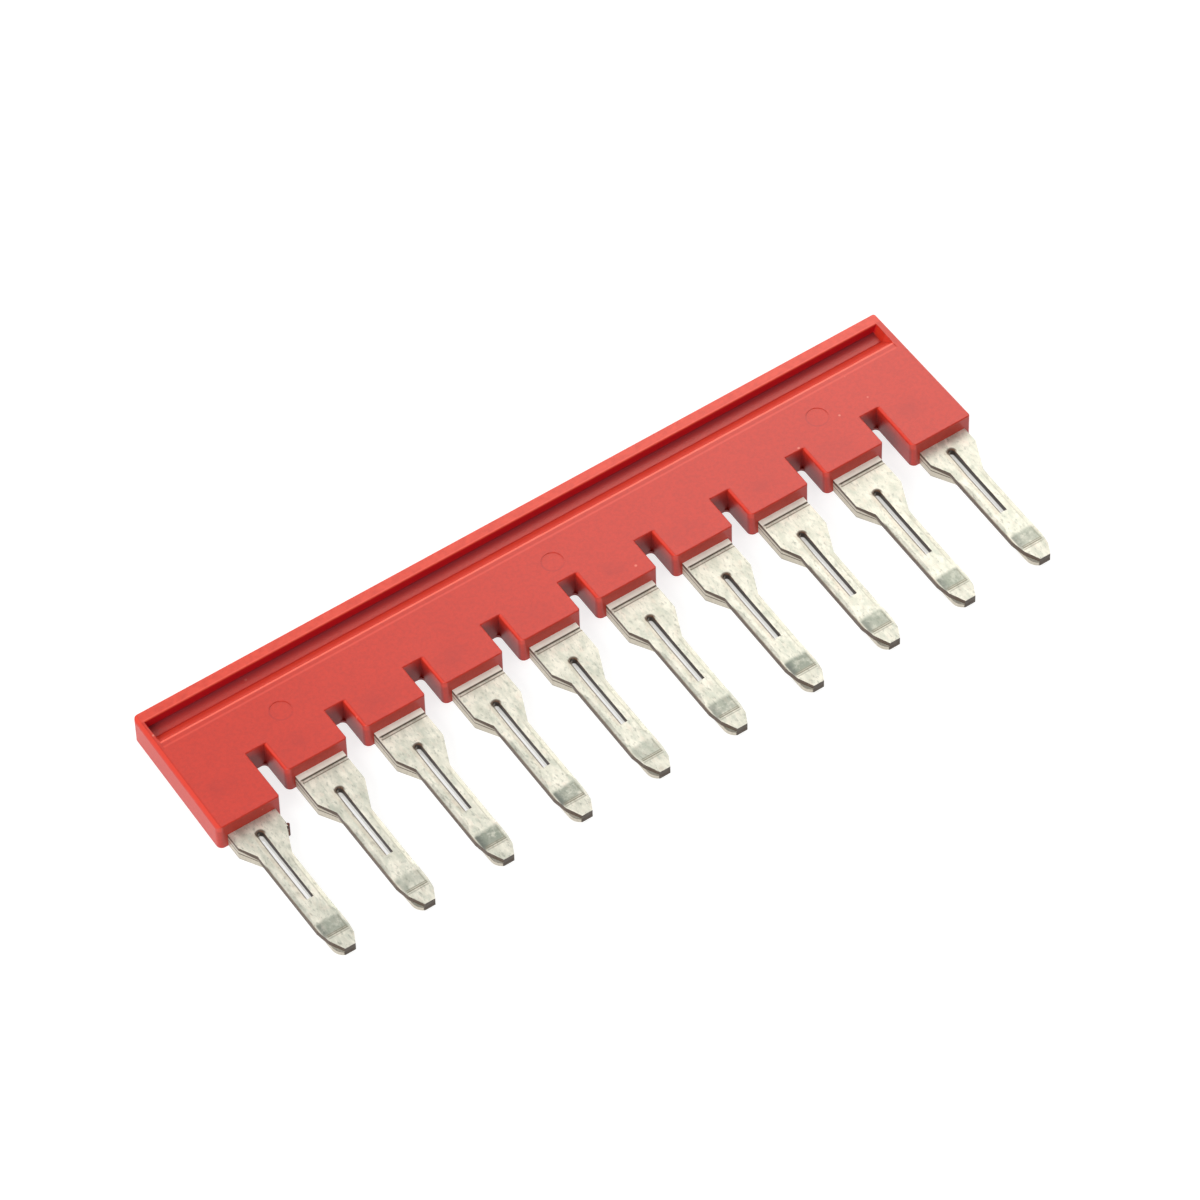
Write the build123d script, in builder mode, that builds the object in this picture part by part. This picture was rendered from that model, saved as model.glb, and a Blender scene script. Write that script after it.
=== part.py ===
"""Plug-in jumper bar for terminal blocks, lying flat.

X runs along the bar, the contact legs point towards -Y, Z is the thickness.
The origin is the middle of the footprint on the surface the bar lies on.
"""

import os

from build123d import *

os.makedirs("parts", exist_ok=True)

# Poles and teeth
pole_count = 10
pole_pitch = 5.2
tooth_gap = 1.2
end_extra = 0.05
back_narrowing = 0.2

# Housing, depths are measured from its back edge towards the legs
housing_height = 1.93
tooth_depth = 8.07
end_tooth_extra = 1.2
slot_root_depth = 5.77
left_corner_radius = 0.35
right_corner_radius = 0.15
top_edge_chamfer = 0.05
left_wall_rounding = 0.18
left_end_rounding = 0.28
root_corner_radius = 0.3
bottom_rim = 0.18

# Marking channel along the back of the housing
channel_start = 0.72
channel_floor = 0.66
channel_slope = 0.86
channel_depth = 0.93
channel_end_wall = 0.55
rebate_width = 0.27
rebate_depth = 0.04
channel_edge_radius = 0.07
channel_root_radius = 0.1

# Ejector marks on the top face
ejector_radius = 0.66
ejector_depth = 0.03
ejector_distance = 4.37
ejector_spacing = 3.5 * pole_pitch

# Contact combs, two stamped sheets lying back to back
sheet = 0.5
leg_sheet = 0.4
tip_sheet = 0.3
bus_lift = 0.4
bus_start = 2.8
bus_end = 5.3
bus_side_wall = 0.75
joggle_start = 6.4
joggle_end = 7.2
neck_half_width = 1.25
neck_end = 7.5
locking_window = 1.1

# Contact leaf outline, sideways distances are measured from the pole axis
head_left = 1.47
head_right = 1.65
head_length = 10.36
leg_half_width = 0.87
lower_leg_left = 0.62
left_shoulder_slope = 0.56
right_shoulder_slope = 0.42
leaf_length = 19.25
leaf_corner_radius = 0.15

# Tip of a leaf, distances are measured back from its end
left_taper_length = 1.85
left_bend_length = 0.9
left_bend = 0.68
right_taper_length = 1.35
right_bend_length = 0.65
right_bend = 0.8
lower_round_length = 0.7
tip_left = 0.2
tip_right = 0.48
crease_length = 1.15

# Slot in each leaf
slot_width = 0.42
slot_shift = 0.05
slot_lead = 0.33
slot_tail = 3.89

# Pressed bevel along the outer edges of a leg
thinning_length = 1.8
bevel_width = 0.25
bevel_height = 0.05
bevel_run = 0.7
bevel_tail = 2.2

# Cross groove on the head and the stub of the cut carrier tie
groove_start = 8.5
groove_width = 0.22
groove_depth = 0.05
groove_edge = 0.18
tie_stub_radius = 0.11
tie_stub_lead = 0.2

# Sizes that follow from the ones above
housing_length = pole_count * pole_pitch - tooth_gap + 2 * end_extra
end_tooth_depth = tooth_depth + end_tooth_extra
back_y = leaf_length / 2
axis_span = (pole_count - 1) * pole_pitch
tooth_width = pole_pitch - tooth_gap
slope_end = channel_start + channel_floor + channel_slope
channel_bottom = housing_height - channel_depth
mid_height = sheet
bus_mid = mid_height + bus_lift
thinning_end = head_length + thinning_length
crease_start = leaf_length - crease_length
slot_start = head_length - slot_lead
slot_end = leaf_length - slot_tail
bevel_end = leaf_length - bevel_tail


def y_at(depth):
    return back_y - depth


def shoulder_end(head_side, leg_side, slope):
    return y_at(head_length + (head_side - leg_side) / slope)


# Outlines of a leaf, from the back to the tip on the left and from the tip to the back on the right
head_outline = [
    (-neck_half_width, y_at(bus_end)),
    (-neck_half_width, y_at(joggle_end)),
    (-head_left, y_at(neck_end)),
    (-head_left, y_at(head_length)),
]
upper_left_outline = [
    (-leg_half_width, shoulder_end(head_left, leg_half_width, left_shoulder_slope)),
    (-leg_half_width, y_at(leaf_length - left_taper_length)),
    (-left_bend, y_at(leaf_length - left_bend_length)),
    (-tip_left, y_at(leaf_length)),
]
lower_left_outline = [
    (-lower_leg_left, shoulder_end(head_left, lower_leg_left, left_shoulder_slope)),
    (-lower_leg_left, y_at(leaf_length - lower_round_length)),
]
right_outline = [
    (tip_right, y_at(leaf_length)),
    (right_bend, y_at(leaf_length - right_bend_length)),
    (leg_half_width, y_at(leaf_length - right_taper_length)),
    (leg_half_width, shoulder_end(head_right, leg_half_width, right_shoulder_slope)),
    (head_right, y_at(head_length)),
    (head_right, y_at(neck_end)),
    (neck_half_width, y_at(joggle_end)),
    (neck_half_width, y_at(bus_end)),
]


def shoulder_corners(sketch):
    """Corners where the head passes into the leg."""
    return [v for v in sketch.vertices() if y_at(leaf_length - left_taper_length) < v.Y < y_at(neck_end)]


with BuildSketch() as leaf_slot:
    with Locations((slot_shift, y_at(slot_start + slot_width / 2))):
        Circle(slot_width / 2)
        Rectangle(slot_width, slot_end - slot_start - slot_width / 2, align=(Align.CENTER, Align.MAX))

with BuildSketch() as upper_leaf:
    with BuildLine():
        Polyline(*head_outline, *upper_left_outline, *right_outline, close=True)
    make_face()
    fillet(shoulder_corners(upper_leaf), leaf_corner_radius)
    add(leaf_slot.sketch, mode=Mode.SUBTRACT)

with BuildSketch() as lower_leaf:
    with BuildLine():
        left_side = Polyline(*head_outline, *lower_left_outline)
        TangentArc(left_side @ 1, (-tip_left, y_at(leaf_length)), tangent=left_side % 1)
        Polyline((-tip_left, y_at(leaf_length)), *right_outline, head_outline[0])
    make_face()
    fillet(shoulder_corners(lower_leaf), leaf_corner_radius)
    add(leaf_slot.sketch, mode=Mode.SUBTRACT)

# Bus strip with its locking windows, and the stub left on the first head
with BuildSketch() as bus_plan:
    with Locations((0, y_at((bus_start + bus_end) / 2))):
        Rectangle(housing_length - 2 * bus_side_wall, bus_end - bus_start)
        with GridLocations(pole_pitch, 1, pole_count - 1, 1):
            Rectangle(locking_window, locking_window, mode=Mode.SUBTRACT)
    with Locations((head_right - axis_span / 2, y_at(head_length + tie_stub_lead))):
        Circle(tie_stub_radius)

# Wedge that bevels the right edge of an upper leg and runs out at both ends
bevel_profile = [
    (leg_half_width - bevel_width, mid_height + leg_sheet),
    (leg_half_width + bevel_width, mid_height + leg_sheet),
    (leg_half_width + bevel_width, mid_height + leg_sheet - 2 * bevel_height),
]
bevel_stations = [
    (thinning_end, bevel_width),
    (thinning_end + bevel_run, 0),
    (bevel_end - bevel_run, 0),
    (bevel_end, bevel_width),
]
with BuildPart() as upper_right_bevel:
    for depth, shift in bevel_stations:
        with BuildSketch(Plane.XZ.offset(-y_at(depth))):
            with Locations((shift, 0)):
                Polygon(*bevel_profile, align=None)
    loft(ruled=True)
upper_left_bevel = mirror(upper_right_bevel.part, about=Plane.YZ)
lower_right_bevel = mirror(upper_right_bevel.part, about=Plane.XY.offset(mid_height))
lower_left_bevel = mirror(lower_right_bevel, about=Plane.YZ)


# Upper comb
with BuildPart() as upper_comb:
    with BuildSketch(Plane.YZ.offset(-housing_length / 2)):
        with BuildLine():
            Polyline(
                (y_at(bus_start), bus_mid),
                (y_at(joggle_start), bus_mid),
                (y_at(joggle_end), mid_height),
                (y_at(leaf_length), mid_height),
                (y_at(leaf_length), mid_height + tip_sheet),
                (y_at(crease_start), mid_height + leg_sheet),
                (y_at(thinning_end), mid_height + leg_sheet),
                (y_at(head_length), mid_height + sheet),
                (y_at(joggle_end), mid_height + sheet),
                (y_at(joggle_start), bus_mid + sheet),
                (y_at(bus_start), bus_mid + sheet),
                close=True,
            )
        make_face()
    extrude(amount=housing_length)
    with BuildSketch():
        add(bus_plan.sketch)
        with GridLocations(pole_pitch, 1, pole_count, 1):
            add(upper_leaf.sketch)
    extrude(amount=housing_height, mode=Mode.INTERSECT)
    with BuildSketch(Plane.XY.offset(mid_height + sheet)):
        with Locations(((groove_edge + head_right - head_left) / 2, y_at(groove_start + groove_width / 2))):
            with GridLocations(pole_pitch, 1, pole_count, 1):
                Rectangle(head_left + head_right - groove_edge, groove_width)
    extrude(amount=-groove_depth, mode=Mode.SUBTRACT)
    with GridLocations(pole_pitch, 1, pole_count, 1):
        add(upper_right_bevel.part, mode=Mode.SUBTRACT)
        add(upper_left_bevel, mode=Mode.SUBTRACT)
upper_comb.part.label = "upper_comb"
export_step(upper_comb.part, "parts/upper_comb.step")

# Lower comb, bevelled and grooved on its underside
with BuildPart() as lower_comb:
    with BuildSketch(Plane.YZ.offset(-housing_length / 2)):
        with BuildLine():
            Polyline(
                (y_at(bus_start), bus_mid),
                (y_at(joggle_start), bus_mid),
                (y_at(joggle_end), mid_height),
                (y_at(leaf_length), mid_height),
                (y_at(leaf_length), mid_height - tip_sheet),
                (y_at(crease_start), mid_height - leg_sheet),
                (y_at(thinning_end), mid_height - leg_sheet),
                (y_at(head_length), mid_height - sheet),
                (y_at(joggle_end), mid_height - sheet),
                (y_at(joggle_start), bus_mid - sheet),
                (y_at(bus_start), bus_mid - sheet),
                close=True,
            )
        make_face()
    extrude(amount=housing_length)
    with BuildSketch():
        add(bus_plan.sketch)
        with GridLocations(pole_pitch, 1, pole_count, 1):
            add(lower_leaf.sketch)
    extrude(amount=housing_height, mode=Mode.INTERSECT)
    with BuildSketch(Plane.XY.offset(mid_height - sheet)):
        with Locations(((groove_edge + head_right - head_left) / 2, y_at(groove_start + groove_width / 2))):
            with GridLocations(pole_pitch, 1, pole_count, 1):
                Rectangle(head_left + head_right - groove_edge, groove_width)
    extrude(amount=groove_depth, mode=Mode.SUBTRACT)
    with GridLocations(pole_pitch, 1, pole_count, 1):
        add(lower_right_bevel, mode=Mode.SUBTRACT)
    with Locations((leg_half_width - lower_leg_left, 0)):
        with GridLocations(pole_pitch, 1, pole_count, 1):
            add(lower_left_bevel, mode=Mode.SUBTRACT)
lower_comb.part.label = "lower_comb"
export_step(lower_comb.part, "parts/lower_comb.step")

# Top edge of the housing's left end, and the plane across it a little behind the back edge
left_end_edge = Edge.make_line(
    (-housing_length / 2 + back_narrowing, back_y, housing_height),
    (-housing_length / 2, y_at(end_tooth_depth), housing_height),
)
left_end_plane = Plane(
    origin=left_end_edge @ 0,
    x_dir=Axis.Z.direction.cross(left_end_edge % 0),
    z_dir=left_end_edge % 0,
).offset(-left_corner_radius)


def left_of_axis(edge):
    """Tells whether an upright edge is on the left side of its tooth."""
    return (edge.center().X + axis_span / 2 + pole_pitch / 2) % pole_pitch < pole_pitch / 2


# Housing moulded around both combs
with BuildPart() as housing:
    with BuildSketch():
        with BuildLine():
            Polyline(
                (-housing_length / 2 + back_narrowing, back_y),
                (housing_length / 2 - back_narrowing, back_y),
                (housing_length / 2, y_at(end_tooth_depth)),
                (-housing_length / 2, y_at(end_tooth_depth)),
                close=True,
            )
        make_face()
        with Locations((0, y_at(end_tooth_depth))):
            Rectangle(
                housing_length - 2 * (tooth_width + end_extra),
                end_tooth_extra,
                align=(Align.CENTER, Align.MIN),
                mode=Mode.SUBTRACT,
            )
        with Locations((0, y_at(end_tooth_depth))):
            with GridLocations(pole_pitch, 1, pole_count - 1, 1):
                Rectangle(
                    tooth_gap,
                    end_tooth_depth - slot_root_depth,
                    align=(Align.CENTER, Align.MIN),
                    mode=Mode.SUBTRACT,
                )
    extrude(amount=housing_height)
    upright = housing.edges().filter_by(Axis.Z)
    upright = [e for e in upright if e.center().Y != y_at(slot_root_depth)]
    fillet([e for e in upright if left_of_axis(e)], left_corner_radius)
    fillet([e for e in upright if not left_of_axis(e)], right_corner_radius)
    chamfer(housing.faces().sort_by(Axis.Z)[-1].edges(), top_edge_chamfer)
    with BuildSketch():
        with Locations((0, y_at(slot_root_depth))):
            with GridLocations(pole_pitch, 1, pole_count - 1, 1):
                Rectangle(tooth_gap, root_corner_radius, align=(Align.CENTER, Align.MAX))
                RectangleRounded(
                    tooth_gap,
                    tooth_depth - slot_root_depth,
                    root_corner_radius,
                    align=(Align.CENTER, Align.MAX),
                    mode=Mode.SUBTRACT,
                )
    extrude(amount=bottom_rim)
    with BuildSketch(Plane.XZ.offset(-y_at(slot_root_depth))):
        with Locations((tooth_gap / 2, housing_height)):
            with GridLocations(pole_pitch, 1, pole_count - 1, 1):
                Rectangle(2 * left_wall_rounding, 2 * left_wall_rounding)
        with Locations((tooth_gap / 2 + left_wall_rounding, housing_height - left_wall_rounding)):
            with GridLocations(pole_pitch, 1, pole_count - 1, 1):
                Circle(left_wall_rounding, mode=Mode.SUBTRACT)
    extrude(amount=end_tooth_depth - slot_root_depth, mode=Mode.SUBTRACT)
    with BuildSketch(left_end_plane):
        Rectangle(2 * left_end_rounding, 2 * left_end_rounding)
        with Locations((left_end_rounding, -left_end_rounding)):
            Circle(left_end_rounding, mode=Mode.SUBTRACT)
    extrude(amount=left_end_edge.length + 2 * left_corner_radius, mode=Mode.SUBTRACT)
    with BuildSketch(Plane.YZ.offset(-housing_length / 2 + channel_end_wall)):
        with BuildLine():
            Polyline(
                (y_at(channel_start), housing_height),
                (y_at(channel_start), channel_bottom),
                (y_at(channel_start + channel_floor), channel_bottom),
                (y_at(slope_end), housing_height - rebate_depth),
                (y_at(slope_end + rebate_width), housing_height - rebate_depth),
                (y_at(slope_end + rebate_width), housing_height),
                close=True,
            )
        make_face()
    extrude(amount=housing_length - 2 * channel_end_wall, mode=Mode.SUBTRACT)
    lengthwise = housing.edges().filter_by(Axis.X)
    roots = [e for e in lengthwise if abs(e.center().Z - channel_bottom) < rebate_depth]
    fillet(roots, channel_root_radius)
    lengthwise = housing.edges().filter_by(Axis.X)
    rims = [
        e
        for e in lengthwise
        if e.center().Z > housing_height - 1.5 * rebate_depth
        and y_at(slope_end) - rebate_width / 2 < e.center().Y < y_at(channel_start) + rebate_width / 2
    ]
    fillet(rims, channel_edge_radius)
    with BuildSketch(Plane.XY.offset(housing_height)):
        with Locations((0, y_at(ejector_distance))):
            with GridLocations(ejector_spacing, 1, 3, 1):
                Circle(ejector_radius)
    extrude(amount=-ejector_depth, mode=Mode.SUBTRACT)
    add(upper_comb.part, mode=Mode.SUBTRACT)
    add(lower_comb.part, mode=Mode.SUBTRACT)
housing.part.label = "housing"
export_step(housing.part, "parts/housing.step")
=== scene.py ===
"""Plug-in jumper bar for terminal blocks: camera, stage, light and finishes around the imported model."""

import math
from collections import namedtuple

import bpy
from mathutils import Matrix, Vector


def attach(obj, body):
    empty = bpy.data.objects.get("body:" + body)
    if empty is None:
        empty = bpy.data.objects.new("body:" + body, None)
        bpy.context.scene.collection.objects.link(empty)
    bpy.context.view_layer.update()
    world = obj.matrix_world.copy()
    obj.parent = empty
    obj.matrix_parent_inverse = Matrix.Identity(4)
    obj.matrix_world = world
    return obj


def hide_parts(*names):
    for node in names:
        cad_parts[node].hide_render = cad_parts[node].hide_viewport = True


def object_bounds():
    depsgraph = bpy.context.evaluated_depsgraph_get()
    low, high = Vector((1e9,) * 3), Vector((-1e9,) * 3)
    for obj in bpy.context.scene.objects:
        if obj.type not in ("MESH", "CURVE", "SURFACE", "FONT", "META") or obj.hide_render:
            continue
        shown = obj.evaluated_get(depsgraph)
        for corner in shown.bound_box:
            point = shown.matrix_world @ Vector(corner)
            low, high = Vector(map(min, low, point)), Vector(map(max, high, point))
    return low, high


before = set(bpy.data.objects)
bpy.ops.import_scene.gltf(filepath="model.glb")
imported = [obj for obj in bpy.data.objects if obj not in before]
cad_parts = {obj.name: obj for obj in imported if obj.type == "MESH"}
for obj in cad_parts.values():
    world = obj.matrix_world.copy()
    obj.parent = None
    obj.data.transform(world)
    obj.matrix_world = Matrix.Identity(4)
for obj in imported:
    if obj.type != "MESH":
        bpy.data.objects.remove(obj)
cad_low, cad_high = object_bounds()

# Camera, fitted to the photograph's edges
PHOTO_WIDTH = 1200
PHOTO_FOCAL = 7806.5
SENSOR_WIDTH = 36.0
CAMERA_TARGET = Vector((0.001458, 0.002702, 0.0))
CAMERA_AZIMUTH = math.radians(-32.405)
CAMERA_ELEVATION = math.radians(52.99)
CAMERA_ROLL = math.radians(-1.949)
CAMERA_DISTANCE = 0.44109

# Studio: the brightest direction mirrors the camera's, and the floor is white where it is seen or mirrored
BRIGHT_SIDE = (0.58, 0.45, 0.68)
STUDIO_DIM = 0.27
STUDIO_BRIGHT = 0.66
FLOOR_SIZE = 6.0
FLOOR_DROP = 0.00002
FLOOR_GREY = (0.35, 0.35, 0.35, 1)
FLOOR_GLOW = 0.30
FLOOR_GLOW_SEEN = 0.76

# Lamps: direction, distance, width and height in metres, brightness of the face, colour
LAMPS = {
    "key": ((0.60, 0.48, 0.68), 0.16, 0.12, 0.12, 2.2, (1.0, 0.99, 0.93)),
    "rear": ((0.30, 0.90, 0.22), 0.5, 0.70, 0.10, 3.5, (1.0, 1.0, 1.0)),
    "left": ((-0.78, -0.12, 0.62), 0.5, 0.35, 0.28, 5.4, (1.0, 1.0, 1.0)),
}

# Housing in millimetres; a depth is measured from its back edge towards the legs
MM = 0.001
POLE_PITCH = 5.2
POLE_COUNT = 10
BACK_Y = cad_high.y / MM
HOUSING_TOP = 1.93
GAP_ROOT = 5.77
TOOTH_SIDE = 2.0
SINK_DEPTH = 6.9
SINK_SHIFT = 0.4
EJECTOR_SPACING = 18.2
EJECTOR_DEPTH = 4.37
EJECTOR_RADIUS = 0.66

# Marking channel as the photograph shows it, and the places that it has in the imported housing
CHANNEL_START = 0.72
CHANNEL_FLOOR_END = 1.50
CHANNEL_END = 2.38
REBATE_END = 2.78
REBATE_DEPTH = 0.04
CHANNEL_DEPTH = 0.69
CHANNEL_HALF_LENGTH = 24.9
CHANNEL_END_LEAN = 0.25
PACKED_CHANNEL_DEPTH = 0.93
PACKED_REBATE_END = 2.51
PACKED_CHANNEL_PLACES = (1.02, 1.38, 2.24, PACKED_REBATE_END, 2.60)
SHOWN_CHANNEL_PLACES = (1.02, CHANNEL_FLOOR_END, CHANNEL_END, REBATE_END, 2.87)

# How far the channel's roundings reach past its back side and its ends, and its right end wall into it
BACK_ROUNDING = 0.15
END_ROUNDING = 0.1
END_WALL_REACH = 0.3

# Contact leaf in millimetres; a sideways distance is measured from the pole axis
HEAD_RIGHT = 1.65
GROOVE_DEPTHS = (8.5, 8.72)
GROOVE_LEFT = -1.34
STUB_DEPTH = 10.56
SHOULDER_START = 10.36
SHOULDER_END = 12.2
LEG_HALF_WIDTH = 0.87
BEVEL_WIDTH = 0.25
BEVEL_END = 16.6
SLOT_LEFT = -0.16
SLOT_RIGHT = 0.26
SLOT_RADIUS = 0.21
SLOT_START = 10.03
SLOT_END = 15.36
CREASE_DEPTH = 18.1
PATCH_START = CREASE_DEPTH - 1.05
PATCH_FRAME_START = CREASE_DEPTH - 0.95
PATCH_LEFT = -0.72
PATCH_RIGHT = 0.74
FRAME_LINE = 0.66
LEAF_LENGTH = 19.25
SEAM_HEIGHT = 0.5
LEG_TOP = 0.9
HEAD_BREAK_HEIGHT = 0.75

# Painted highlights along the rims of the channel: depth, width and strength
RIM_HIGHLIGHTS = (
    (CHANNEL_START - 0.06, 0.10, 0.3),
    (CHANNEL_END - 0.02, 0.14, 0.95),
    (REBATE_END, 0.11, 0.22),
)

# Painted shade in the lines pressed in at the crease of a leaf: distance past the crease and strength
CREASE_LINES = ((-0.08, 0.6), (0.03, 0.8), (0.16, 0.45))

# Tones of the red nylon
RED_DEEP = (0.56, 0.022, 0.006, 1)
RED_LIGHT = (0.61, 0.027, 0.009, 1)
RED_FLECK = (0.37, 0.012, 0.007, 1)
# Painted shade for the sinks over the leaves and for the lower-left rims of the ejector rings
RED_SINK_SHADE = (0.37, 0.012, 0.008, 1)
RED_RING_SHADE = (0.38, 0.012, 0.012, 1)
RED_GRAIN = (0.85, 0.30, 0.22, 1)
# Painted shade low in the gaps between the teeth
RED_GAP_SHADE = (0.20, 0.010, 0.014, 1)
# Painted shade on the channel's back wall and floor, painted light on its slope, a painted sheen on the back
# strip and painted highlights on its rims
RED_CHANNEL_WALL_SHADE = (0.56, 0.003, 0.014, 1)
RED_CHANNEL_FLOOR_SHADE = (0.20, 0.006, 0.012, 1)
RED_CHANNEL_SLOPE_LIGHT = (0.66, 0.055, 0.032, 1)
RED_BACK_STRIP_SHEEN = (0.90, 0.085, 0.040, 1)
RED_RIM_HIGHLIGHT = (0.95, 0.13, 0.08, 1)
# Painted highlight on rounded edges that face left and painted light on the left end
RED_ROUNDED_HIGHLIGHT = (0.85, 0.055, 0.025, 1)
RED_LEFT_END_LIGHT = (0.80, 0.030, 0.012, 1)

# Tones of the tin on the faces
TIN_SHADED = (0.52, 0.52, 0.44, 1)
TIN_BRIGHT = (0.80, 0.77, 0.67, 1)
TIN_PINK = (0.68, 0.55, 0.46, 1)
TIN_GREEN = (0.42, 0.46, 0.39, 1)
TIN_SPECK = (0.24, 0.25, 0.21, 1)
# Painted shade along the bevel on the right of a leg
TIN_RIDGE_SHADE = (0.34, 0.33, 0.26, 1)
TIN_BEVEL_SHADE = (0.44, 0.42, 0.34, 1)
TIN_OUTER_LINE = (0.16, 0.10, 0.06, 1)
TIN_SLOT_RIM = (0.13, 0.10, 0.075, 1)
# Painted shade beside the slot and at its deep start
TIN_BESIDE_SLOT_SHADE = (0.55, 0.42, 0.32, 1)
TIN_SLOT_MOUTH_SHADE = (0.10, 0.065, 0.045, 1)
TIN_PATCH = (0.17, 0.20, 0.16, 1)
TIN_PATCH_CORNER = (0.060, 0.070, 0.065, 1)
# Painted shade in the crease lines
TIN_CREASE_SHADE = (0.18, 0.16, 0.11, 1)
TIN_FRAME_LINE = (0.24, 0.23, 0.17, 1)
# Painted light on the strip beside the housing and painted shade on the groove's edges
TIN_STRIP_LIGHT = (0.93, 0.93, 0.82, 1)
TIN_GROOVE_SHADE = (0.16, 0.13, 0.09, 1)

# Tones of the cut edges, each pair from the darker to the lighter grain
EDGE_BROWN = ((0.045, 0.025, 0.016, 1), (0.15, 0.10, 0.065, 1))
EDGE_PALE = ((0.50, 0.45, 0.36, 1), (0.72, 0.67, 0.57, 1))
EDGE_TIP = ((0.05, 0.035, 0.025, 1), (0.13, 0.10, 0.075, 1))
# Painted shade in the seam between the sheets
EDGE_SEAM_SHADE = (0.12, 0.09, 0.065, 1)
EDGE_LOWEST = (0.30, 0.27, 0.23, 1)
# In the slot: painted light on the lower wall, near white like the floor seen through, painted shade on the
# upper wall and a painted highlight on its lip
EDGE_SLOT_LOW_LIGHT = (0.90, 0.89, 0.86, 1)
EDGE_SLOT_HIGH_SHADE = (0.040, 0.022, 0.014, 1)
EDGE_SLOT_LIP_HIGHLIGHT = (0.20, 0.09, 0.04, 1)
EDGE_STUB = (0.12, 0.030, 0.018, 1)

# Where a shaded point lies: its place in millimetres, then sideways, height and depth by themselves
Place = namedtuple("Place", "point x z depth")


def add_node(tree, kind, values=None, **settings):
    """Adds a shader node; a value may be a number, a colour or another node's output."""
    made = tree.nodes.new(kind)
    for name, value in settings.items():
        setattr(made, name, value)
    for key, value in (values or {}).items():
        if isinstance(value, bpy.types.NodeSocket):
            tree.links.new(value, made.inputs[key])
        else:
            made.inputs[key].default_value = value
    return made


def maths(tree, operation, *values):
    return add_node(tree, "ShaderNodeMath", dict(enumerate(values)), operation=operation).outputs[0]


def both(tree, first, *others):
    """The product of all its values, so that a mark shows only where every mask is 1."""
    for other in others:
        first = maths(tree, "MULTIPLY", first, other)
    return first


def length(tree, first, second):
    """The distance that the two sides of a right angle span."""
    squares = [maths(tree, "MULTIPLY", side, side) for side in (first, second)]
    return maths(tree, "SQRT", maths(tree, "ADD", *squares))


def remap(tree, value, low, high, first, second):
    """Runs from first to second as value goes from low to high, and stays there outside them."""
    return add_node(tree, "ShaderNodeMapRange", {0: value, 1: low, 2: high, 3: first, 4: second}).outputs[0]


def rise(tree, value, low, high):
    return remap(tree, value, low, high, 0.0, 1.0)


def fall(tree, value, low, high):
    return remap(tree, value, low, high, 1.0, 0.0)


def shoulder(tree, value, edge, soft, first, second):
    """A soft step from first to second where value passes the edge."""
    values = {0: value, 1: edge - soft, 2: edge + soft, 3: first, 4: second}
    return add_node(tree, "ShaderNodeMapRange", values, interpolation_type="SMOOTHSTEP").outputs[0]


def band(tree, value, low, high, soft):
    """1 where value lies between low and high, with soft shoulders."""
    return both(tree, shoulder(tree, value, low, soft, 0.0, 1.0), shoulder(tree, value, high, soft, 1.0, 0.0))


def line(tree, value, middle, width):
    """1 on a thin line, falling off to nothing at the given width from its middle."""
    apart = maths(tree, "ABSOLUTE", maths(tree, "SUBTRACT", value, middle))
    return fall(tree, apart, 0.35 * width, width)


def folded(tree, value, period, offset):
    """Distance from the nearest of the places that repeat with the period."""
    shifted = maths(tree, "ADD", value, offset + period / 2)
    return maths(tree, "SUBTRACT", maths(tree, "FLOORED_MODULO", shifted, period), period / 2)


def noise(tree, vector, scale, detail=3.0, roughness=0.55):
    values = {"Vector": vector, "Scale": scale, "Detail": detail, "Roughness": roughness}
    return add_node(tree, "ShaderNodeTexNoise", values).outputs["Fac"]


def stretched(tree, point, x, y, z):
    return add_node(tree, "ShaderNodeVectorMath", {0: point, 1: (x, y, z)}, operation="MULTIPLY").outputs[0]


def blend(tree, factor, first, second):
    return add_node(tree, "ShaderNodeMix", {0: factor, 6: first, 7: second}, data_type="RGBA").outputs[2]


def paint(tree, colour, tone, strength, *masks):
    """Lays a tone over the colour where every mask is 1, as thickly as the strength says."""
    return blend(tree, both(tree, strength, *masks), colour, tone)


def new_material(name):
    material = bpy.data.materials.new(name)
    material.use_nodes = True
    tree = material.node_tree
    return material, tree, tree.nodes["Principled BSDF"]


def place_on_object(tree):
    position = add_node(tree, "ShaderNodeTexCoord").outputs["Object"]
    point = add_node(tree, "ShaderNodeVectorMath", {0: position, 3: 1 / MM}, operation="SCALE").outputs[0]
    x, y, z = add_node(tree, "ShaderNodeSeparateXYZ", {0: point}).outputs
    return Place(point, x, z, maths(tree, "SUBTRACT", BACK_Y, y))


def surface_normal(tree):
    normal = add_node(tree, "ShaderNodeNewGeometry").outputs["Normal"]
    return add_node(tree, "ShaderNodeSeparateXYZ", {0: normal}).outputs


def bump(tree, shader, height, strength, distance):
    values = {"Height": height, "Strength": strength, "Distance": distance * MM}
    tree.links.new(add_node(tree, "ShaderNodeBump", values).outputs[0], shader.inputs["Normal"])


def mottled_red(tree, place):
    colour = blend(tree, noise(tree, place.point, 0.3, 2.0), RED_DEEP, RED_LIGHT)
    fleck = rise(tree, noise(tree, place.point, 4.5, 4.0, 0.75), 0.40, 0.66)
    return paint(tree, colour, RED_FLECK, 0.36, fleck)


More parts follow.
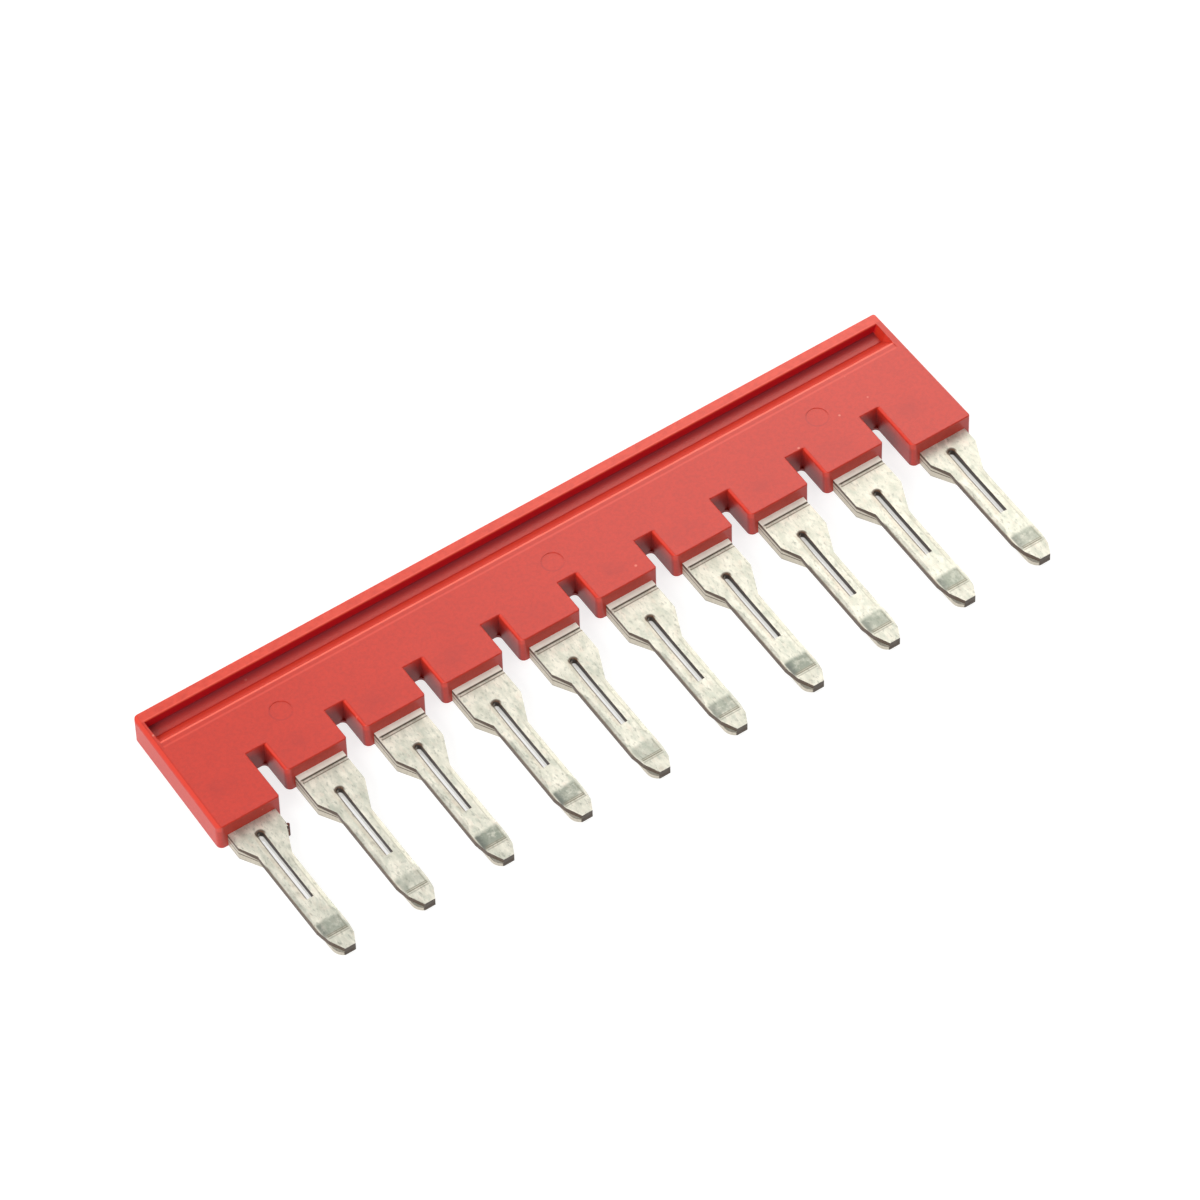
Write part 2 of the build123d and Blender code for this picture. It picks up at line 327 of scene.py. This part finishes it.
def moulding_shade_and_grains(tree, place, colour, face):
    """Painted shade of the faint sinks in the face over the leaves and of the ejector rings' lower-left rims,
    and a few pale grains.
    """
    sideways = maths(tree, "ADD", folded(tree, place.x, POLE_PITCH, POLE_PITCH / 2), SINK_SHIFT)
    lengthwise = maths(tree, "MULTIPLY", maths(tree, "SUBTRACT", place.depth, SINK_DEPTH), 1.4)
    sink_shade = fall(tree, length(tree, sideways, lengthwise), 0.2, 1.5)
    uneven = rise(tree, noise(tree, place.point, 0.8, 2.0), 0.35, 0.6)
    # Painted shade where the face sinks over a leaf
    colour = paint(tree, colour, RED_SINK_SHADE, 0.35, sink_shade, uneven)

    across = folded(tree, place.x, EJECTOR_SPACING, 0.0)
    along = maths(tree, "SUBTRACT", place.depth, EJECTOR_DEPTH)
    shaded_ring = line(tree, length(tree, across, along), EJECTOR_RADIUS, 0.08)
    # Painted shade on each ring, only on its lower-left side, which lies in shade
    lower_left = rise(tree, maths(tree, "SUBTRACT", along, across), -0.5, 0.6)
    colour = paint(tree, colour, RED_RING_SHADE, 0.45, shaded_ring, face, lower_left)

    cells = add_node(tree, "ShaderNodeTexVoronoi", {"Vector": place.point, "Scale": 0.45})
    grain = fall(tree, cells.outputs["Distance"], 0.025, 0.045)
    return paint(tree, colour, RED_GRAIN, 0.5, grain)


def gap_shade(tree, place, colour):
    """Painted shade: the gaps between the teeth are a shade darker low down."""
    from_axis = maths(tree, "ABSOLUTE", folded(tree, place.x, POLE_PITCH, POLE_PITCH / 2))
    beside_tooth = rise(tree, from_axis, TOOTH_SIDE - 0.08, TOOTH_SIDE - 0.02)
    past_root = rise(tree, place.depth, GAP_ROOT - 0.1, GAP_ROOT - 0.02)
    low = fall(tree, place.z, 1.2, 1.8)
    within_ends = fall(tree, maths(tree, "ABSOLUTE", place.x), CHANNEL_HALF_LENGTH, CHANNEL_HALF_LENGTH + 0.2)
    return paint(tree, colour, RED_GAP_SHADE, 0.55, beside_tooth, past_root, low, within_ends)


def channel_light_and_shade(tree, place, colour, face):
    """The channel: painted shade on the back wall, deeper crimson, and on the floor along it, painted light
    on the slope, a painted sheen on the back strip and painted highlights on the rims.
    """
    floor_height = HOUSING_TOP - CHANNEL_DEPTH
    between_ends = band(tree, place.x, -CHANNEL_HALF_LENGTH, CHANNEL_HALF_LENGTH, 0.05)
    # Painted shade: the back wall is a deeper crimson
    on_wall = band(tree, place.depth, CHANNEL_START - 0.08, CHANNEL_START + 0.10, 0.02)
    wall_height = band(tree, place.z, floor_height, HOUSING_TOP - 0.08, 0.03)
    colour = paint(tree, colour, RED_CHANNEL_WALL_SHADE, 0.9, between_ends, on_wall, wall_height)

    on_floor = both(
        tree,
        between_ends,
        fall(tree, place.z, floor_height + 0.04, floor_height + 0.12),
        band(tree, place.depth, CHANNEL_START - 0.1, CHANNEL_END, 0.02),
        rise(tree, place.z, 1.0, 1.1),
    )
    # Painted shade on the floor, darkest along the back wall
    shade = remap(tree, place.depth, CHANNEL_START, CHANNEL_START + 0.6, 0.97, 0.32)
    colour = paint(tree, colour, RED_CHANNEL_FLOOR_SHADE, shade, on_floor)

    # Painted sheen, mottled, on the strip behind the channel
    behind = fall(tree, place.depth, CHANNEL_START - 0.08, CHANNEL_START - 0.02)
    mottled = remap(tree, noise(tree, place.point, 2.0, 3.0), 0.30, 0.65, 0.20, 0.50)
    colour = paint(tree, colour, RED_BACK_STRIP_SHEEN, mottled, face, behind)
    # Painted light on the slope
    on_slope = band(tree, place.depth, CHANNEL_FLOOR_END + 0.12, CHANNEL_END, 0.05)
    slope_height = band(tree, place.z, floor_height + 0.05, HOUSING_TOP - REBATE_DEPTH, 0.03)
    colour = paint(tree, colour, RED_CHANNEL_SLOPE_LIGHT, 0.6, between_ends, on_slope, slope_height)

    # Painted highlights along the rims
    for rim_depth, width, strength in RIM_HIGHLIGHTS:
        rim = line(tree, place.depth, rim_depth, width)
        colour = paint(tree, colour, RED_RIM_HIGHLIGHT, strength, rim, face, between_ends)
    return colour, on_floor


def left_facing_highlights(tree, place, colour):
    """Painted highlight on the rounded edges that face left, and painted light on the left end a little."""
    sideways = surface_normal(tree)[0]
    # Painted highlight on the rounded edges that face left
    rounded = band(tree, sideways, -0.92, -0.25, 0.12)
    colour = paint(tree, colour, RED_ROUNDED_HIGHLIGHT, 0.6, rounded, rise(tree, place.z, 1.4, 1.6))
    # Painted light on the left end
    facing_left = fall(tree, sideways, -0.97, -0.92)
    at_end = fall(tree, place.x, -CHANNEL_HALF_LENGTH - 0.3, -CHANNEL_HALF_LENGTH)
    return paint(tree, colour, RED_LEFT_END_LIGHT, 0.2, facing_left, at_end)


def red_plastic():
    material, tree, shader = new_material("housing_plastic")
    place = place_on_object(tree)
    face = rise(tree, place.z, HOUSING_TOP - 0.10, HOUSING_TOP - 0.05)
    colour = mottled_red(tree, place)
    colour = moulding_shade_and_grains(tree, place, colour, face)
    colour = gap_shade(tree, place, colour)
    colour, on_floor = channel_light_and_shade(tree, place, colour, face)
    colour = left_facing_highlights(tree, place, colour)
    tree.links.new(colour, shader.inputs["Base Color"])

    grain = noise(tree, place.point, 14.0, 3.0)
    dull_corner = both(tree, on_floor, remap(tree, place.depth, CHANNEL_START, CHANNEL_START + 0.4, 0.5, 0.0))
    roughness = maths(tree, "ADD", remap(tree, grain, 0.0, 1.0, 0.32, 0.46), dull_corner)
    tree.links.new(roughness, shader.inputs["Roughness"])
    shader.inputs["Specular IOR Level"].default_value = 0.58
    bump(tree, shader, grain, 0.5, 0.008)
    return material


def clouded_tin(tree, place, cloud, speck):
    """Cloudy cream, grey-green and a little pink, drawn out along the leaf."""
    colour = blend(tree, rise(tree, cloud, 0.34, 0.62), TIN_SHADED, TIN_BRIGHT)
    pink = noise(tree, stretched(tree, place.point, 2.5, 1.2, 1.0), 1.3)
    colour = paint(tree, colour, TIN_PINK, 0.30, rise(tree, pink, 0.54, 0.70))
    green = noise(tree, stretched(tree, place.point, 2.2, 1.0, 1.0), 1.7)
    colour = paint(tree, colour, TIN_GREEN, 0.40, rise(tree, green, 0.50, 0.66))
    return paint(tree, colour, TIN_SPECK, 0.60, rise(tree, speck, 0.55, 0.72))


def leg_borders(tree, place, colour, across):
    """Painted shade along the bevel on the right side of a leg, and the thin dark line along its left side.
    """
    bevel = LEG_HALF_WIDTH - BEVEL_WIDTH
    on_leg = band(tree, place.depth, SHOULDER_END, BEVEL_END, 0.5)
    apart = maths(tree, "ABSOLUTE", across)
    on_right = rise(tree, across, -0.1, 0.1)
    # Painted shade along the bevel's crease and over the bevel
    colour = paint(tree, colour, TIN_RIDGE_SHADE, 0.45, on_leg, line(tree, apart, bevel, 0.06), on_right)
    outside = rise(tree, apart, bevel - 0.04, bevel + 0.04)
    colour = paint(tree, colour, TIN_BEVEL_SHADE, 0.30, on_leg, outside, on_right)
    along = band(tree, place.depth, SHOULDER_END, CREASE_DEPTH, 0.3)
    at_left = fall(tree, across, 0.03 - LEG_HALF_WIDTH, 0.08 - LEG_HALF_WIDTH)
    return paint(tree, colour, TIN_OUTER_LINE, 0.8, along, at_left)


def slot_rims(tree, place, colour, across):
    """The dark rim on the left of the slot, the pinkish margin beside it as painted shade of a shallow dip,
    and a ring of painted shade around the slot's start.
    """
    beside = band(tree, place.depth, SLOT_START, SLOT_END, 0.15)
    colour = paint(tree, colour, TIN_SLOT_RIM, 0.9, beside, line(tree, across, SLOT_LEFT - 0.02, 0.06))
    # Painted shade of a shallow dip beside the slot
    colour = paint(tree, colour, TIN_BESIDE_SLOT_SHADE, 0.30, beside, line(tree, across, SLOT_LEFT - 0.16, 0.12))
    # A ring of painted shade around the slot's deep start
    mouth_depth = SLOT_START + SLOT_RADIUS
    sideways = maths(tree, "SUBTRACT", across, SLOT_LEFT + SLOT_RADIUS)
    lengthwise = maths(tree, "SUBTRACT", place.depth, mouth_depth)
    shaded_ring = line(tree, length(tree, sideways, lengthwise), SLOT_RADIUS + 0.02, 0.11)
    before_slot = fall(tree, place.depth, mouth_depth, mouth_depth + 0.3)
    return paint(tree, colour, TIN_SLOT_MOUTH_SHADE, 0.9, shaded_ring, before_slot)


def worn_tip(tree, place, colour, across, chance):
    """The worn patch before the crease, unlike on each leaf, with its dark corner, and painted shade in the
    crease lines.
    """
    worn = remap(tree, noise(tree, place.point, 2.6, 4.0, 0.65), 0.30, 0.52, 0.35, 1.0)
    colour = paint(
        tree, colour, TIN_PATCH, 0.85,
        band(tree, place.depth, PATCH_START, CREASE_DEPTH - 0.03, 0.16),
        band(tree, across, PATCH_LEFT, PATCH_RIGHT, 0.12),
        worn,
        remap(tree, chance, 0.0, 1.0, 0.45, 1.0),
    )
    colour = paint(
        tree, colour, TIN_PATCH_CORNER, 0.75,
        band(tree, place.depth, PATCH_FRAME_START, CREASE_DEPTH + 0.05, 0.1),
        fall(tree, across, PATCH_LEFT + 0.02, -0.25),
        rise(tree, across, PATCH_LEFT - 0.08, PATCH_LEFT),
        remap(tree, chance, 0.2, 0.8, 0.25, 1.0),
    )
    # Painted shade in the crease lines
    for offset, strength in CREASE_LINES:
        mark = line(tree, place.depth, CREASE_DEPTH + offset, 0.06)
        colour = paint(tree, colour, TIN_CREASE_SHADE, strength, mark, band(tree, across, -0.62, 0.72, 0.06))
    along = band(tree, place.depth, PATCH_FRAME_START, CREASE_DEPTH, 0.05)
    return paint(tree, colour, TIN_FRAME_LINE, 0.5, along, line(tree, across, FRAME_LINE, 0.06))


def head_marks(tree, place, colour, across, strip):
    """Painted light on the pale strip between the housing and the cross groove, and painted shade on the
    groove's edges.
    """
    # Painted light on the strip
    colour = paint(tree, colour, TIN_STRIP_LIGHT, 0.8, strip)
    past_left = rise(tree, across, GROOVE_LEFT - 0.06, GROOVE_LEFT)
    # Painted shade on the groove's edges
    for groove in GROOVE_DEPTHS:
        colour = paint(tree, colour, TIN_GROOVE_SHADE, 0.85, line(tree, place.depth, groove, 0.07), past_left)
    return colour


def cut_edges(tree, place, above_break, in_slot):
    """Brown along the top of the upper leaf, pale below it, with painted shade in the seam between the
    sheets; in the slot, painted light on the lower wall, painted shade on the upper wall and a painted
    highlight on its lip.
    """
    grain = noise(tree, place.point, 6.0)
    edge = blend(tree, above_break, blend(tree, grain, *EDGE_PALE), blend(tree, grain, *EDGE_BROWN))
    # Painted shade in the seam between the sheets
    edge = blend(tree, line(tree, place.z, SEAM_HEIGHT, 0.06), edge, EDGE_SEAM_SHADE)
    edge = blend(tree, remap(tree, place.z, 0.03, 0.09, 0.8, 0.0), edge, EDGE_LOWEST)
    # In the slot: painted light on the lower wall, painted shade on the upper wall and a painted highlight on
    # its lip
    inner = blend(tree, rise(tree, place.z, SEAM_HEIGHT - 0.06, SEAM_HEIGHT), EDGE_SLOT_LOW_LIGHT, EDGE_SLOT_HIGH_SHADE)
    inner = blend(tree, rise(tree, place.z, LEG_TOP - 0.05, LEG_TOP - 0.01), inner, EDGE_SLOT_LIP_HIGHLIGHT)
    edge = blend(tree, in_slot, edge, inner)
    at_tip = rise(tree, place.depth, LEAF_LENGTH - 0.05, LEAF_LENGTH - 0.02)
    return blend(tree, at_tip, edge, blend(tree, grain, *EDGE_TIP))


def tinned_copper():
    """Dull tin on the faces and bare cut edges; marks are placed by the depth along the leaf."""
    material, tree, shader = new_material("contact_metal")
    place = place_on_object(tree)
    across = folded(tree, place.x, POLE_PITCH, POLE_PITCH / 2)
    from_left = maths(tree, "ADD", place.x, POLE_COUNT * POLE_PITCH / 2)
    pole = maths(tree, "FLOOR", maths(tree, "DIVIDE", from_left, POLE_PITCH))
    chance = add_node(tree, "ShaderNodeTexWhiteNoise", {"W": pole}, noise_dimensions="1D").outputs["Value"]
    cloud = noise(tree, stretched(tree, place.point, 1.6, 0.8, 1.0), 1.0, 4.0, 0.6)
    speck = noise(tree, stretched(tree, place.point, 7.0, 3.0, 3.0), 1.0, 3.0, 0.6)
    strip = fall(tree, place.depth, GROOVE_DEPTHS[0] - 0.05, GROOVE_DEPTHS[0])

    colour = clouded_tin(tree, place, cloud, speck)
    colour = leg_borders(tree, place, colour, across)
    colour = slot_rims(tree, place, colour, across)
    colour = worn_tip(tree, place, colour, across, chance)
    colour = head_marks(tree, place, colour, across, strip)

    cut = fall(tree, maths(tree, "ABSOLUTE", surface_normal(tree)[2]), 0.35, 0.6)
    break_height = remap(tree, place.depth, SHOULDER_START, SHOULDER_END, HEAD_BREAK_HEIGHT, SEAM_HEIGHT)
    above_break = rise(tree, maths(tree, "SUBTRACT", place.z, break_height), -0.03, 0.03)
    in_slot = both(
        tree,
        band(tree, place.depth, SLOT_START, SLOT_END, 0.02),
        band(tree, across, SLOT_LEFT - 0.05, SLOT_RIGHT + 0.05, 0.02),
    )
    colour = blend(tree, cut, colour, cut_edges(tree, place, above_break, in_slot))
    stub = both(
        tree,
        rise(tree, across, HEAD_RIGHT - 0.06, HEAD_RIGHT - 0.03),
        band(tree, place.depth, STUB_DEPTH - 0.2, STUB_DEPTH + 0.2, 0.02),
        fall(tree, pole, 0.0, 0.5),
    )
    colour = blend(tree, stub, colour, EDGE_STUB)
    tree.links.new(colour, shader.inputs["Base Color"])

    # The burr and the pale strip are dull, the lower wall of the slot mirrors
    dull = maths(tree, "MAXIMUM", both(tree, cut, above_break), strip)
    mirror = both(tree, cut, in_slot, fall(tree, place.z, SEAM_HEIGHT - 0.06, SEAM_HEIGHT))
    metallic = maths(tree, "MAXIMUM", remap(tree, dull, 0.0, 1.0, 0.6, 0.10), mirror)
    tree.links.new(metallic, shader.inputs["Metallic"])
    tree.links.new(remap(tree, cloud, 0.3, 0.7, 0.40, 0.55), shader.inputs["Roughness"])
    bump(tree, shader, speck, 0.5, 0.012)
    return material


def make_floor():
    bpy.ops.mesh.primitive_plane_add(size=FLOOR_SIZE, location=(0, 0, -FLOOR_DROP))
    floor = bpy.context.object
    floor.name = "floor"
    material, tree, shader = new_material("floor_white")
    shader.inputs["Base Color"].default_value = FLOOR_GREY
    shader.inputs["Roughness"].default_value = 0.9
    shader.inputs["Emission Color"].default_value = (1, 1, 1, 1)
    rays = add_node(tree, "ShaderNodeLightPath").outputs
    mirrored = maths(tree, "MAXIMUM", rays["Is Glossy Ray"], rays["Is Transmission Ray"])
    seen = maths(tree, "MAXIMUM", rays["Is Camera Ray"], mirrored)
    glow = remap(tree, seen, 0.0, 1.0, FLOOR_GLOW, FLOOR_GLOW_SEEN)
    tree.links.new(glow, shader.inputs["Emission Strength"])
    floor.data.materials.append(material)


def make_world():
    """A white studio, brightest behind and above the object and dimmer on the viewer's side."""
    world = bpy.data.worlds.new("studio")
    bpy.context.scene.world = world
    world.use_nodes = True
    tree = world.node_tree
    ray = add_node(tree, "ShaderNodeTexCoord").outputs["Generated"]
    bright_side = Vector(BRIGHT_SIDE).normalized()
    towards = add_node(tree, "ShaderNodeVectorMath", {0: ray, 1: bright_side}, operation="DOT_PRODUCT")
    strength = remap(tree, towards.outputs["Value"], -0.3, 0.9, STUDIO_DIM, STUDIO_BRIGHT)
    background = tree.nodes["Background"]
    background.inputs["Color"].default_value = (1, 1, 1, 1)
    tree.links.new(strength, background.inputs["Strength"])


def add_softbox(name, direction, distance, width, height, radiance, colour):
    """A rectangular lamp that faces the object; radiance is the brightness its face is seen at."""
    data = bpy.data.lights.new(name, "AREA")
    data.shape = "RECTANGLE"
    data.size = width
    data.size_y = height
    data.color = colour
    data.energy = radiance * math.pi * width * height
    lamp = bpy.data.objects.new(name, data)
    bpy.context.scene.collection.objects.link(lamp)
    towards = Vector(direction).normalized()
    lamp.location = CAMERA_TARGET + towards * distance
    lamp.rotation_mode = "QUATERNION"
    lamp.rotation_quaternion = towards.to_track_quat("Z", "Y")


def make_camera():
    back = Vector((
        math.sin(CAMERA_AZIMUTH) * math.cos(CAMERA_ELEVATION),
        -math.cos(CAMERA_AZIMUTH) * math.cos(CAMERA_ELEVATION),
        math.sin(CAMERA_ELEVATION),
    ))
    data = bpy.data.cameras.new("camera")
    data.sensor_width = SENSOR_WIDTH
    data.lens = PHOTO_FOCAL / PHOTO_WIDTH * SENSOR_WIDTH
    data.clip_start = 0.01
    data.clip_end = 10.0
    camera = bpy.data.objects.new("camera", data)
    bpy.context.scene.collection.objects.link(camera)
    level = (-back).cross(Vector((0, 0, 1))).normalized()
    up = level.cross(-back)
    rolled_right = level * math.cos(CAMERA_ROLL) + up * math.sin(CAMERA_ROLL)
    rolled_up = up * math.cos(CAMERA_ROLL) - level * math.sin(CAMERA_ROLL)
    turned = Matrix((rolled_right, rolled_up, back)).transposed().to_4x4()
    camera.matrix_world = Matrix.Translation(CAMERA_TARGET + back * CAMERA_DISTANCE) @ turned
    bpy.context.scene.camera = camera


def dress(piece, material):
    piece.data.materials.clear()
    piece.data.materials.append(material)


def moved(value, before, after):
    """Where value comes to lie when the places in before move to the places in after."""
    for low, high, new_low, new_high in zip(before, before[1:], after, after[1:]):
        if low <= value <= high:
            return new_low + (value - low) / (high - low) * (new_high - new_low)
    return value


def housing_with_shallow_channel():
    """The housing with its channel as wide and shallow as in the photograph and its right end leaning."""
    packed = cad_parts["housing"]
    piece = packed.copy()
    piece.data = packed.data.copy()
    piece.name = "housing_visual"
    bpy.context.scene.collection.objects.link(piece)
    squeeze = (CHANNEL_DEPTH - REBATE_DEPTH) / (PACKED_CHANNEL_DEPTH - REBATE_DEPTH)
    for vertex in piece.data.vertices:
        depth = BACK_Y - vertex.co.y / MM
        below = HOUSING_TOP - vertex.co.z / MM - REBATE_DEPTH
        if abs(vertex.co.x) / MM > CHANNEL_HALF_LENGTH + END_ROUNDING or below > PACKED_CHANNEL_DEPTH:
            continue
        vertex.co.y = (BACK_Y - moved(depth, PACKED_CHANNEL_PLACES, SHOWN_CHANNEL_PLACES)) * MM
        if CHANNEL_START - BACK_ROUNDING < depth < PACKED_REBATE_END and below > 0:
            vertex.co.z += below * (1 - squeeze) * MM
            if vertex.co.x / MM > CHANNEL_HALF_LENGTH - END_WALL_REACH:
                vertex.co.x -= below / PACKED_CHANNEL_DEPTH * CHANNEL_END_LEAN * MM
    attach(piece, "root")
    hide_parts("housing")
    return piece


bpy.context.scene.view_settings.view_transform = "Standard"
metal = tinned_copper()
dress(housing_with_shallow_channel(), red_plastic())
dress(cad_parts["upper_comb"], metal)
dress(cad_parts["lower_comb"], metal)
make_floor()
make_world()
for lamp_name, lamp_values in LAMPS.items():
    add_softbox(lamp_name, *lamp_values)
make_camera()
